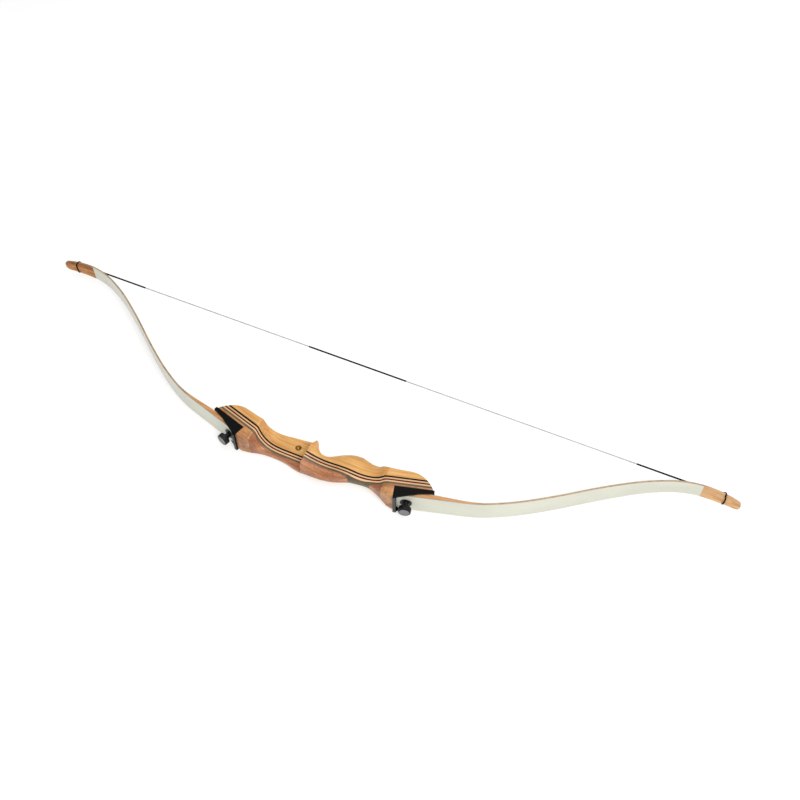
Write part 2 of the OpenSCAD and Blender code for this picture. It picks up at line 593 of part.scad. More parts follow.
// The string: straight along y = 0, and divided into a loop round each tip
SERVED_R = strand_r + serving_t;
NOCK_X = limb_back(NOCK_S)[0];
SPLIT_X = NOCK_X - loop_l;
module along_string(x0, x1) {
    translate([x0, 0, 0]) rotate([0, 90, 0]) linear_extrude(x1 - x0) children();
}
module serving(x0, x1) {
    color("#141414") along_string(x0, x1) difference() {
        circle(r = SERVED_R);
        circle(r = strand_r);
    }
}
module bowstring() {
    color("white") along_string(-SPLIT_X, SPLIT_X) circle(r = strand_r);
}
module upper_end_serving() { serving(-SPLIT_X, -end_serving); }
module lower_end_serving() { serving(end_serving, SPLIT_X); }
module centre_serving() { serving(-centre_up, centre_down); }

// Route of one loop, from where it divides, through the near nock, over the back and home
LOOP_R = strand_r;
LEG_Z = LOOP_R + 0.1;
LOOP_START = 0.15;
LOOP_Z = half_width(NOCK_S) - nock_r + LOOP_R + 0.15;
BELLY_H = limb_t + LOOP_R + 0.3;
BACK_H = -overlay_t - LOOP_R - 0.3;
function nock_point(dx, h, z) = let (p = limb_in(NOCK_S, h)) [p[0] + dx, p[1], z];
LOOP_HALF = [[SPLIT_X + LOOP_START, 0, LEG_Z], [SPLIT_X + 3, 0, LEG_Z], [SPLIT_X + 9, -0.2, 3.4],
    nock_point(-6.5, BELLY_H, LOOP_Z - 2.4), nock_point(-2.2, BELLY_H - 0.3, LOOP_Z),
    nock_point(0, limb_t - 1, LOOP_Z + 0.1), nock_point(0, limb_t / 2, LOOP_Z),
    nock_point(0, 0, LOOP_Z), nock_point(0, 0.6 - overlay_t, LOOP_Z + 0.1),
    nock_point(0, BACK_H + 0.6, LOOP_Z - 0.2), nock_point(0.6, BACK_H - 0.1, LOOP_Z - 1.7),
    nock_point(1.6, BACK_H - 0.2, LOOP_Z - 4), nock_point(2.2, BACK_H - 0.2, 1.5)];
LOOP_ROUTE = concat(LOOP_HALF, [for (p = reverse(LOOP_HALF)) [p[0], p[1], -p[2]]]);

// A tube swept along a smooth curve through the route's points
TUBE_SIDES = 8;
TUBE_STEPS = 3;
function unit(v) = v / norm(v);
function curve(a, b, c, d, t) = (2 * b + t * (c - a) + t * t * (2 * a - 5 * b + 4 * c - d)
    + t * t * t * (3 * b - 3 * c + d - a)) / 2;
function through(route) = let (n = len(route) - 1)
    concat([for (i = [0:n - 1]) for (k = [0:TUBE_STEPS - 1])
        curve(route[max(i - 1, 0)], route[i], route[i + 1], route[min(i + 2, n)], k / TUBE_STEPS)],
        [route[n]]);
function heading(line, i) = unit(line[min(i + 1, len(line) - 1)] - line[max(i - 1, 0)]);
// Each ring's side vector is the last one's, turned square to the new heading
function sides(line, i = 0, u = [0, 1, 0], done = []) = i == len(line) ? done
    : let (t = heading(line, i), v = unit(u - (u * t) * t)) sides(line, i + 1, v, concat(done, [v]));
module tube(route, r) {
    line = through(route);
    us = sides(line);
    n = TUBE_SIDES;
    points = [for (i = [0:len(line) - 1]) let (u = us[i], v = cross(heading(line, i), u))
        for (k = [0:n - 1]) line[i] + r * (cos(360 * k / n) * u + sin(360 * k / n) * v)];
    last = (len(line) - 1) * n;
    walls = [for (i = [0:len(line) - 2]) for (k = [0:n - 1])
        let (a = i * n + k, b = i * n + (k + 1) % n) each [[a, b + n, b], [a, a + n, b + n]]];
    caps = [for (k = [1:n - 2]) each [[0, k, k + 1], [last, last + k + 1, last + k]]];
    polyhedron(points, concat(walls, caps));
}
module string_loop(which) {
    color("#141414") mirror([which == UPPER ? 1 : 0, 0, 0]) tube(LOOP_ROUTE, LOOP_R);
}
module upper_string_loop() { string_loop(UPPER); }
module lower_string_loop() { string_loop(LOWER); }

// Stands the bow on the surface, with its box centred on the origin
LOWEST_Y = let (corner_t = bolt_t - knob_r + 1.5) PAD_P[1] + corner_t * sin(pad_angle) - FACE_N * cos(pad_angle);
HIGHEST_Y = max([for (p = BELLY_LINE) p[1]]);
module stand() {
    translate([0, -(LOWEST_Y + HIGHEST_Y) / 2, pocket_w / 2]) children();
}

stand() riser_maple_face();
stand() riser_black_lamination();
stand() riser_belly_cream_lamination();
stand() riser_maroon_lamination();
stand() riser_back_cream_lamination();
stand() riser_olive_lamination();
stand() riser_upper_hardwood_back();
stand() riser_lower_hardwood_back();
stand() upper_limb_pocket();
stand() lower_limb_pocket();
stand() upper_bolt_insert();
stand() lower_bolt_insert();
stand() upper_locating_pin();
stand() lower_locating_pin();
stand() plunger_bushing();
stand() sight_bushings();
stand() upper_limb_back_glass();
stand() upper_limb_core();
stand() upper_limb_wedge();
stand() upper_limb_belly_glass();
stand() upper_tip_overlay();
stand() lower_limb_back_glass();
stand() lower_limb_core();
stand() lower_limb_wedge();
stand() lower_limb_belly_glass();
stand() lower_tip_overlay();
stand() upper_bolt_washer();
stand() upper_bolt_knob();
stand() upper_limb_bolt();
stand() lower_bolt_washer();
stand() lower_bolt_knob();
stand() lower_limb_bolt();
stand() bowstring();
stand() upper_end_serving();
stand() centre_serving();
stand() lower_end_serving();
stand() upper_string_loop();
stand() lower_string_loop();
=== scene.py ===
"""Looks of a strung takedown recurve bow, dressed over its packed construction model.

The bow lies on its right side on a pale floor. X runs along it, with the upper limb towards -X.
+Y is the archer's side, where the string is. +Z is the side with the arrow shelf and window.
"""

import json
import logging
import math
from dataclasses import dataclass
from enum import Enum
from typing import Iterable, Sequence

import bmesh
import bpy
from mathutils import Matrix, Vector


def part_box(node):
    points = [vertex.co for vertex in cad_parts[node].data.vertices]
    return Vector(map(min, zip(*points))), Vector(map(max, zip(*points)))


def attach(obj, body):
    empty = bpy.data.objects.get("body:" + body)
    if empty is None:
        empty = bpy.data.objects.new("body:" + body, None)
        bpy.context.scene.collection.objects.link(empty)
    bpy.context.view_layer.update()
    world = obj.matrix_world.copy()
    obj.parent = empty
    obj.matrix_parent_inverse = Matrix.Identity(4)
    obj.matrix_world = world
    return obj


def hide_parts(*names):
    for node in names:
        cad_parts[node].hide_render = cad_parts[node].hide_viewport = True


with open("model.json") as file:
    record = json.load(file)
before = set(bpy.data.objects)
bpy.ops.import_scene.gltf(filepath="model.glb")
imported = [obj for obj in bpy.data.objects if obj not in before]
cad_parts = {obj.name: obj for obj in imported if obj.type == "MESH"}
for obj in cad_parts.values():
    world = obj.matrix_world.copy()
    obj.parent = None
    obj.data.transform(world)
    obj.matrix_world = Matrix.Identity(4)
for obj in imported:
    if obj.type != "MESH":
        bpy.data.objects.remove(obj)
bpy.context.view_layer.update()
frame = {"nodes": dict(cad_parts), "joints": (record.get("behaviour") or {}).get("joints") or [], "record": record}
joints = {joint["name"]: joint for joint in frame["joints"]}
mounts = {mount["name"]: mount for mount in frame["record"]["mounts"]}

LOG = logging.getLogger("bow")
Vec = tuple[float, float, float]

# Middle of the straight string, and the angle of the limb pads to it
_, STRING_Y, STRING_Z = sum(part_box("bowstring"), Vector()) / 2
PAD_ANGLE = math.asin(joints["lower_bolt_turn"]["axis"][0])

# Distance from the grip at which the glued layers bend towards the pads, and how gently they do
BEND_X = 0.104
BEND_EASE = 0.05

# Grey of the painted highlight on the outer rims of the pockets, where their faces look towards -Y
PAINTED_RIM_GREY = "6b6a68"

# Distance under which the points of a mesh are merged
MERGE = 0.00001

# Numbers of the Mix node's colour sockets, because its plain sockets have the same names
FIRST = 6
SECOND = 7
MIXED = 2


def tint(code: str) -> tuple[float, float, float, float]:
    """Turns an sRGB hex colour into the linear colour that a shader takes.

    Args:
        code: Six hex digits, with or without a leading hash.

    Returns:
        Linear red, green, blue and an alpha of one.
    """
    digits = code.lstrip("#")
    channels = [int(digits[i:i + 2], 16) / 255 for i in (0, 2, 4)]
    linear = [c / 12.92 if c <= 0.04045 else ((c + 0.055) / 1.055) ** 2.4 for c in channels]
    return linear[0], linear[1], linear[2], 1.0


class End(Enum):
    """One end of the bow, with the sign of X that it points to."""

    UPPER = -1
    LOWER = 1

    @property
    def word(self) -> str:
        """Word that starts the names of this end's nodes."""
        return self.name.lower()


class Flow(Enum):
    """Path that grain or fibres follow on a piece."""

    LAYERS = "along the glued layers of the riser"
    LENGTH = "along the bow"


class Sheet:
    """One node material in the making."""

    def __init__(self, name: str) -> None:
        """Starts a material with an empty principled shader.

        Args:
            name: Name of the material.
        """
        self.material = bpy.data.materials.new(name)
        self.material.use_nodes = True
        self.tree = self.material.node_tree
        self.shader = self.tree.nodes["Principled BSDF"]

    def join(self, node: bpy.types.Node, inputs: dict[str | int, object]) -> None:
        """Sets or links inputs of a node.

        Args:
            node: Node in this material.
            inputs: Values or sockets by the name or number of the input.
        """
        for key, value in inputs.items():
            if isinstance(value, bpy.types.NodeSocket):
                self.tree.links.new(value, node.inputs[key])
            else:
                node.inputs[key].default_value = value

    def add(
        self, kind: str, inputs: dict[str | int, object], out: str | int = 0,
        stops: Sequence[tuple[float, str]] = (), **settings: object,
    ) -> bpy.types.NodeSocket:
        """Adds one node with its settings and links.

        Args:
            kind: Blender's name of the node type.
            inputs: Values or sockets by the name or number of the input.
            out: Name or number of the output to hand back.
            stops: Positions and hex colours of a colour ramp, in order.
            **settings: Other properties of the node.

        Returns:
            The output socket.
        """
        node = self.tree.nodes.new(kind)
        for key, value in settings.items():
            setattr(node, key, value)
        self.join(node, inputs)
        for _ in stops[2:]:
            node.color_ramp.elements.new(0.5)
        for number, (position, code) in enumerate(stops):
            node.color_ramp.elements[number].position = position
            node.color_ramp.elements[number].color = tint(code)
        return node.outputs[out]

    def place(self, flow: Flow) -> bpy.types.NodeSocket:
        """Gives the place on the piece, unbent along its grain.

        Args:
            flow: Path that the grain follows.

        Returns:
            Vector socket in metres, with the grain along X.
        """
        spot = self.add("ShaderNodeTexCoord", {}, "Object")
        if flow is Flow.LENGTH:
            return spot
        x, y, z = self.add("ShaderNodeSeparateXYZ", {"Vector": spot}).node.outputs
        reach = self.add("ShaderNodeMath", {0: x}, operation="ABSOLUTE")
        past = self.add("ShaderNodeMath", {0: reach, 1: BEND_X}, operation="SUBTRACT")
        eased = self.add("ShaderNodeMath", {0: past, 1: 0.0, 2: BEND_EASE}, operation="SMOOTH_MAX")
        rise = self.add("ShaderNodeMath", {0: eased, 1: math.tan(PAD_ANGLE)}, operation="MULTIPLY")
        level = self.add("ShaderNodeMath", {0: y, 1: rise}, operation="SUBTRACT")
        return self.add("ShaderNodeCombineXYZ", {"X": x, "Y": level, "Z": z})

    def pattern(
        self, spot: bpy.types.NodeSocket, size: Vec, shift: Vec = (0, 0, 0), detail: float = 3.0,
        warp: float = 0.0,
    ) -> bpy.types.NodeSocket:
        """Draws soft noise at a real size.

        Args:
            spot: Place on the piece in metres.
            size: Length, width and depth of the marks in millimetres.
            shift: Place in the noise to start from, so that no two patterns lie on each other.
            detail: Amount of finer noise in the marks.
            warp: How much the marks are bent.

        Returns:
            Share between zero and one.
        """
        scale = tuple(1000 / side for side in size)
        laid = self.add("ShaderNodeMapping", {"Vector": spot, "Scale": scale, "Location": shift})
        values = {"Vector": laid, "Scale": 1.0, "Detail": detail, "Distortion": warp}
        return self.add("ShaderNodeTexNoise", values)


@dataclass(frozen=True)
class Wood:
    """Sanded and lacquered wood, with growth lines, fine pores and slow changes of tone.

    The growth lines lie as far apart as in the real wood. Its pores are about 0.1 mm wide, too fine
    to show, so they are drawn three to four times as wide. Sizes are in millimetres.
    """

    name: str
    pale: str
    mid: str
    deep: str
    flow: Flow = Flow.LAYERS
    line: float = 2.8
    patch: float = 0.1
    fleck: float = 0.0
    fleck_size: Vec = (17, 5.2, 5.2)
    pore: float = 0.0
    rough: float = 0.4
    coat: float = 0.2
    gloss: float = 0.35

    def figured(self, sheet: Sheet, figure: bpy.types.NodeSocket) -> bpy.types.NodeSocket:
        """Colours the growth lines.

        Args:
            sheet: Material in the making.
            figure: Share of pale wood.

        Returns:
            Colour socket.
        """
        stops = [(0.3, self.deep), (0.48, self.mid), (0.72, self.pale)]
        return sheet.add("ShaderNodeValToRGB", {"Fac": figure}, stops=stops)

    def flecked(
        self, sheet: Sheet, spot: bpy.types.NodeSocket, colour: bpy.types.NodeSocket,
    ) -> bpy.types.NodeSocket:
        """Lays dark flecks and open pores over the growth lines.

        Args:
            sheet: Material in the making.
            spot: Place on the piece.
            colour: Colour of the growth lines.

        Returns:
            Colour socket.
        """
        for depth, size, shift, detail, warp, start, full in (
            (self.fleck, self.fleck_size, (1, 9, 4), 5, 1.4, 0.46, 0.66),
            (self.pore, (2.4, 0.42, 0.42), (7, 3, 2), 2, 0.0, 0.56, 0.66),
        ):
            if depth:
                marks = sheet.pattern(spot, size, shift, detail, warp)
                limits = {"Value": marks, "From Min": start, "From Max": full, "To Max": depth}
                share = sheet.add("ShaderNodeMapRange", limits)
                darker = {"Factor": share, FIRST: colour, SECOND: tint(self.deep)}
                colour = sheet.add("ShaderNodeMix", darker, MIXED, data_type="RGBA")
        return colour

    def toned(
        self, sheet: Sheet, spot: bpy.types.NodeSocket, hair: bpy.types.NodeSocket,
        colour: bpy.types.NodeSocket,
    ) -> bpy.types.NodeSocket:
        """Varies the tone, slowly over the piece and finely with its fibres.

        Args:
            sheet: Material in the making.
            spot: Place on the piece.
            hair: Share of raised fibre.
            colour: Colour so far.

        Returns:
            Colour socket.
        """
        slow = sheet.pattern(spot, (60, 20, 20), (3, 1, 7))
        streaks = {"Value": hair, "From Min": 0.25, "From Max": 0.75, "To Min": 0.92, "To Max": 1.05}
        patches = {
            "Value": slow, "From Min": 0.3, "From Max": 0.7,
            "To Min": 1 - self.patch, "To Max": 1 + 0.6 * self.patch,
        }
        fine = sheet.add("ShaderNodeMapRange", streaks)
        broad = sheet.add("ShaderNodeMapRange", patches)
        shade = sheet.add("ShaderNodeMath", {0: fine, 1: broad}, operation="MULTIPLY")
        grey = sheet.add("ShaderNodeCombineColor", {"Red": shade, "Green": shade, "Blue": shade})
        layers = {"Factor": 1.0, FIRST: colour, SECOND: grey}
        return sheet.add("ShaderNodeMix", layers, MIXED, data_type="RGBA", blend_type="MULTIPLY")

    def make(self) -> bpy.types.Material:
        """Builds the material.

        Returns:
            The finished wood.
        """
        sheet = Sheet(self.name)
        spot = sheet.place(self.flow)
        figure = sheet.pattern(spot, (110, self.line, 2.2 * self.line), detail=4, warp=0.6)
        hair = sheet.pattern(spot, (11, 0.28, 0.42), (5, 2, 1), 2)
        colour = self.flecked(sheet, spot, self.figured(sheet, figure))
        worn = {
            "Value": hair, "From Min": 0.2, "From Max": 0.8,
            "To Min": self.rough - 0.06, "To Max": self.rough + 0.08,
        }
        ridges = sheet.add("ShaderNodeMath", {0: figure, 1: 0.6, 2: hair}, operation="MULTIPLY_ADD")
        sheet.join(sheet.shader, {
            "Base Color": self.toned(sheet, spot, hair, colour),
            "Roughness": sheet.add("ShaderNodeMapRange", worn),
            "Coat Weight": self.coat, "Coat Roughness": 0.2, "Specular IOR Level": self.gloss,
            "Normal": sheet.add("ShaderNodeBump", {"Height": ridges, "Distance": 0.00004}),
        })
        return sheet.material


@dataclass(frozen=True)
class TurningWood(Wood):
    """Wood that changes its colours at one distance from the grip, and darkens short of it; on the riser woods
    that darkening is painted shade before the crease.
    """

    # Where the colours change, where the darkening before it starts, and its full share
    turn: float = 0.1395
    shade_from: float = 0.112
    shade: float = 0.6
    # Pale, middle and deep colour past the change
    past: tuple[str, str, str] = ("cc9862", "b8804d", "885434")

    def figured(self, sheet: Sheet, figure: bpy.types.NodeSocket) -> bpy.types.NodeSocket:
        """Colours the growth lines, with the change of colours.

        Args:
            sheet: Material in the making.
            figure: Share of pale wood.

        Returns:
            Colour socket.
        """
        along = sheet.add("ShaderNodeSeparateXYZ", {"Vector": sheet.place(Flow.LENGTH)})
        reach = sheet.add("ShaderNodeMath", {0: along}, operation="ABSOLUTE")
        # Darkening short of the change, which on the riser woods is painted shade before the crease
        near = {"Value": reach, "From Min": self.shade_from, "From Max": self.turn, "To Max": self.shade}
        share = sheet.add("ShaderNodeMapRange", near)
        shaded = {"Factor": share, FIRST: super().figured(sheet, figure), SECOND: tint(self.deep)}
        body = sheet.add("ShaderNodeMix", shaded, MIXED, data_type="RGBA")
        pale, mid, deep = self.past
        stops = [(0.3, deep), (0.48, mid), (0.72, pale)]
        end = sheet.add("ShaderNodeValToRGB", {"Fac": figure}, stops=stops)
        seam = {"Value": reach, "From Min": self.turn, "From Max": self.turn + 0.001}
        woods = {"Factor": sheet.add("ShaderNodeMapRange", seam), FIRST: body, SECOND: end}
        return sheet.add("ShaderNodeMix", woods, MIXED, data_type="RGBA")


@dataclass(frozen=True)
class RimmedWood(Wood):
    """Wood with painted shade along the rounded edge that lies up, deepest past the nock."""

    # Full share of the painted shade, and the heights where it starts and where it is full
    rim: float = 0.8
    rim_from: float = 0.027
    rim_full: float = 0.041
    # Colour of the painted shade, its colour past the nock, and the nock's distance from the grip
    stain: str = "86440f"
    end_stain: str = "340f02"
    nock: float = 0.735

    def figured(self, sheet: Sheet, figure: bpy.types.NodeSocket) -> bpy.types.NodeSocket:
        """Colours the growth lines, with painted shade towards the upper edge.

        Args:
            sheet: Material in the making.
            figure: Share of pale wood.

        Returns:
            Colour socket.
        """
        x, _, z = sheet.add("ShaderNodeSeparateXYZ", {"Vector": sheet.place(Flow.LENGTH)}).node.outputs
        # Painted shade: the colour is blended towards a dark tone with height, and darker still past the nock
        height = {"Value": z, "From Min": self.rim_from, "From Max": self.rim_full, "To Max": self.rim}
        share = sheet.add("ShaderNodeMapRange", height)
        reach = sheet.add("ShaderNodeMath", {0: x}, operation="ABSOLUTE")
        tip = {"Value": reach, "From Min": self.nock, "From Max": self.nock + 0.01}
        past = sheet.add("ShaderNodeMapRange", tip)
        rim_shades = {"Factor": past, FIRST: tint(self.stain), SECOND: tint(self.end_stain)}
        stain = sheet.add("ShaderNodeMix", rim_shades, MIXED, data_type="RGBA")
        rimmed = {"Factor": share, FIRST: super().figured(sheet, figure), SECOND: stain}
        return sheet.add("ShaderNodeMix", rimmed, MIXED, data_type="RGBA")


@dataclass(frozen=True)
class FibreGlass:
    """Smooth facing of the limbs, with drawn fibres under its surface and resin on its sanded edges.

    The bundles of fibre lie 0.7 mm apart, as in such laminate.
    """

    name: str
    pale: str
    deep: str
    resin: str

    def make(self) -> bpy.types.Material:
        """Builds the material.

        Returns:
            The finished facing.
        """
        sheet = Sheet(self.name)
        spot = sheet.place(Flow.LENGTH)
        fibres = sheet.pattern(spot, (125, 125, 0.7))
        cloud = sheet.pattern(spot, (140, 140, 60), (4, 2, 2), 2)
        mixed = sheet.add("ShaderNodeMix", {"Factor": 0.8, "A": fibres, "B": cloud})
        stops = [(0.35, self.deep), (0.6, self.pale)]
        surface = sheet.add("ShaderNodeValToRGB", {"Fac": mixed}, stops=stops)
        facing = sheet.add("ShaderNodeTexCoord", {}, "Normal")
        up = sheet.add("ShaderNodeSeparateXYZ", {"Vector": facing}, "Z")
        upright = sheet.add("ShaderNodeMath", {0: up}, operation="ABSOLUTE")
        sanded = {"Value": upright, "From Min": 0.55, "From Max": 0.8}
        edge = sheet.add("ShaderNodeMapRange", sanded)
        edged = {"Factor": edge, FIRST: surface, SECOND: tint(self.resin)}
        worn = {"Value": fibres, "From Min": 0.3, "From Max": 0.7, "To Min": 0.26, "To Max": 0.36}
        sheet.join(sheet.shader, {
            "Base Color": sheet.add("ShaderNodeMix", edged, MIXED, data_type="RGBA"),
            "Roughness": sheet.add("ShaderNodeMapRange", worn),
            "Coat Weight": 0.35, "Coat Roughness": 0.12, "IOR": 1.5,
            "Normal": sheet.add("ShaderNodeBump", {"Height": fibres, "Distance": 0.00002}),
        })
        return sheet.material


@dataclass(frozen=True)
class Moulded:
    """Moulded nylon or resin, with a fine grainy skin, paler worn spots and, where asked, a painted highlight on
    faces that look towards -Y.

    The mould's real grain is about 0.1 mm, too fine to show, so it is drawn at 0.65 mm.
    """

    name: str
    tone: str
    worn: str
    rough: float = 0.45
    grain: float = 0.00005
    gloss: float = 0.2
    # Share of the painted grey highlight on faces that look towards -Y
    rubbed_rim: float = 0.0

    def make(self) -> bpy.types.Material:
        """Builds the material.

        Returns:
            The finished skin.
        """
        sheet = Sheet(self.name)
        spot = sheet.place(Flow.LENGTH)
        skin_grain = sheet.pattern(spot, (0.65, 0.65, 0.65))
        rub = sheet.pattern(spot, (8.4, 8.4, 8.4), (2, 5, 1), 4)
        spots = {"Value": rub, "From Min": 0.5, "From Max": 0.8, "To Max": 0.6}
        share = sheet.add("ShaderNodeMapRange", spots)
        spotted = {"Factor": share, FIRST: tint(self.tone), SECOND: tint(self.worn)}
        colour = sheet.add("ShaderNodeMix", spotted, MIXED, data_type="RGBA")
        if self.rubbed_rim:
            # Painted highlight: faces that look towards -Y, such as the pockets' outer rims, are blended towards
            # pale grey
            facing = sheet.add("ShaderNodeTexCoord", {}, "Normal")
            level = sheet.add("ShaderNodeSeparateXYZ", {"Vector": facing}, "Y")
            outward = {"Value": level, "From Min": -0.75, "From Max": -0.9, "To Max": self.rubbed_rim}
            share = sheet.add("ShaderNodeMapRange", outward)
            rim = {"Factor": share, FIRST: colour, SECOND: tint(PAINTED_RIM_GREY)}
            colour = sheet.add("ShaderNodeMix", rim, MIXED, data_type="RGBA")
        worn = {
            "Value": rub, "From Min": 0.3, "From Max": 0.7,
            "To Min": self.rough - 0.06, "To Max": self.rough + 0.08,
        }
        sheet.join(sheet.shader, {
            "Base Color": colour,
            "Roughness": sheet.add("ShaderNodeMapRange", worn),
            "Specular IOR Level": self.gloss,
            "Normal": sheet.add("ShaderNodeBump", {"Height": skin_grain, "Distance": self.grain}),
        })
        return sheet.material


@dataclass(frozen=True)
class Metal:
    """Turned metal with fine tool marks and a little tarnish.

    The real tool marks are some 0.05 mm apart, too fine to show, so they are drawn at 0.2 mm.
    """

    name: str
    bright: str
    dull: str
    rough: float = 0.3

    def make(self) -> bpy.types.Material:
        """Builds the material.

        Returns:
            The finished metal.
        """
        sheet = Sheet(self.name)
        spot = sheet.place(Flow.LENGTH)
        marks = sheet.pattern(spot, (3.4, 3.4, 0.2), detail=2)
        tarnish = sheet.pattern(spot, (3.8, 3.8, 3.8), (6, 2, 3), 4)
        worn = {
            "Value": tarnish, "From Min": 0.3, "From Max": 0.7,
            "To Min": self.rough, "To Max": self.rough + 0.2,
        }
        stops = [(0.35, self.dull), (0.62, self.bright)]
        sheet.join(sheet.shader, {
            "Base Color": sheet.add("ShaderNodeValToRGB", {"Fac": tarnish}, stops=stops),
            "Roughness": sheet.add("ShaderNodeMapRange", worn),
            "Metallic": 1.0,
            "Normal": sheet.add("ShaderNodeBump", {"Height": marks, "Distance": 0.00002}),
        })
        return sheet.material


@dataclass(frozen=True)
class Thread:
    """Waxed thread or strands, with fine filaments and a soft sheen.

    Real filaments are some 0.02 mm thick, too fine to show, so they are drawn at 0.24 mm.
    """

    name: str
    pale: str
    deep: str
    rough: float = 0.6
    sheen: float = 0.3
    gloss: float = 0.3

    def make(self) -> bpy.types.Material:
        """Builds the material.

        Returns:
            The finished thread.
        """
        sheet = Sheet(self.name)
        spot = sheet.place(Flow.LENGTH)
        lint = sheet.pattern(spot, (0.7, 0.24, 0.24))
        wax = sheet.pattern(spot, (14, 3.4, 3.4), (1, 1, 3))
        mixed = sheet.add("ShaderNodeMix", {"Factor": 0.5, "A": lint, "B": wax})
        worn = {
            "Value": wax, "From Min": 0.3, "From Max": 0.7,
            "To Min": self.rough - 0.1, "To Max": self.rough + 0.1,
        }
        stops = [(0.35, self.deep), (0.6, self.pale)]
        sheet.join(sheet.shader, {
            "Base Color": sheet.add("ShaderNodeValToRGB", {"Fac": mixed}, stops=stops),
            "Roughness": sheet.add("ShaderNodeMapRange", worn),
            "Sheen Weight": self.sheen, "Sheen Roughness": 0.4, "Specular IOR Level": self.gloss,
            "Normal": sheet.add("ShaderNodeBump", {"Height": lint, "Distance": 0.00006}),
        })
        return sheet.material


def skin(piece: bpy.types.Object, material: bpy.types.Material) -> None:
    """Puts one material on every slot of a piece.

    Args:
        piece: Object to dress.
        material: Finished material.
    """
    if not piece.material_slots:
        piece.data.materials.append(material)
    for slot in piece.material_slots:
        slot.material = material


def soften(piece: bpy.types.Object, edge: float = 0.0, angle: float = 32.0) -> None:
    """Joins a node's loose triangles, rounds its edges and shades it smoothly.

    Args:
        piece: Construction node, whose own mesh stays as it is.
        edge: Width of the rounding on sharp edges, in metres, or zero for none.
        angle: Angle in degrees above which an edge stays sharp.
    """
    weld = piece.modifiers.new("join", "WELD")
    weld.merge_threshold = MERGE
    if edge:
        flat = piece.modifiers.new("clean", "DECIMATE")
        flat.decimate_type = "DISSOLVE"
        flat.angle_limit = math.radians(0.5)
        bevel = piece.modifiers.new("edges", "BEVEL")
        bevel.width = edge
        bevel.segments = 2
        bevel.limit_method = "ANGLE"
        bevel.angle_limit = math.radians(angle)
    split = piece.modifiers.new("sharp", "EDGE_SPLIT")
    split.split_angle = math.radians(angle)
    weigh = piece.modifiers.new("shade", "WEIGHTED_NORMAL")
    weigh.keep_sharp = True
    for face in piece.data.polygons:
        face.use_smooth = True


def turn_outwards(mesh: bmesh.types.BMesh) -> None:
    """Turns all faces of a closed mesh outwards.

    The operator alone can turn the whole of a long screw inwards, so the volume's sign is tested.

    Args:
        mesh: Closed mesh work.
    """
    bmesh.ops.recalc_face_normals(mesh, faces=mesh.faces[:])
    if mesh.calc_volume(signed=True) < 0:
        bmesh.ops.reverse_faces(mesh, faces=mesh.faces[:])


def piece_from(name: str, mesh: bmesh.types.BMesh, material: bpy.types.Material) -> bpy.types.Object:
    """Turns finished mesh work into an object at the origin.

    Args:
        name: Name of the piece.
        mesh: Mesh work in its place, which is freed.
        material: Finished material.

    Returns:
        The new object.
    """
    data = bpy.data.meshes.new(name)
    mesh.to_mesh(data)
    mesh.free()
    for face in data.polygons:
        face.use_smooth = True
    piece = bpy.data.objects.new(name, data)
    bpy.context.scene.collection.objects.link(piece)
    skin(piece, material)
    return piece


def wound(
    profile: Sequence[tuple[float, float]], pitch: float, turns: int, steps: int,
) -> bmesh.types.BMesh:
    """Winds a profile into a closed right-hand screw, along X from the origin.

    Args:
        profile: Share of the pitch and radius at each corner of one turn, the last share being one.
        pitch: Length of one turn in metres.
        turns: Number of turns.
        steps: Faces round one turn.

    Returns:
        Mesh work of the screw.
    """
    mesh = bmesh.new()
    rows = [mesh.verts.new((0, profile[-1][1], 0))]
    for number in range(turns - 1):
        for share, radius in profile:
            rows.append(mesh.verts.new(((number + share) * pitch, radius, 0)))
    for a, b in zip(rows, rows[1:]):
        mesh.edges.new((a, b))
    bmesh.ops.spin(
        mesh, geom=mesh.verts[:] + mesh.edges[:], cent=(0, 0, 0), axis=(1, 0, 0),
        dvec=(pitch / steps, 0, 0), angle=2 * math.pi, steps=steps, use_duplicate=False,
    )
    bmesh.ops.remove_doubles(mesh, verts=mesh.verts[:], dist=MERGE)
    rims = [edge for edge in mesh.edges if edge.is_boundary]
    bmesh.ops.holes_fill(mesh, edges=rims, sides=0)
    turn_outwards(mesh)
    return mesh


def along_string(x: float, y: float = 0.0, z: float = 0.0) -> Vector:
    """Gives a point by its place from the middle of the straight string."""
    return Vector((x, STRING_Y + y, STRING_Z + z))


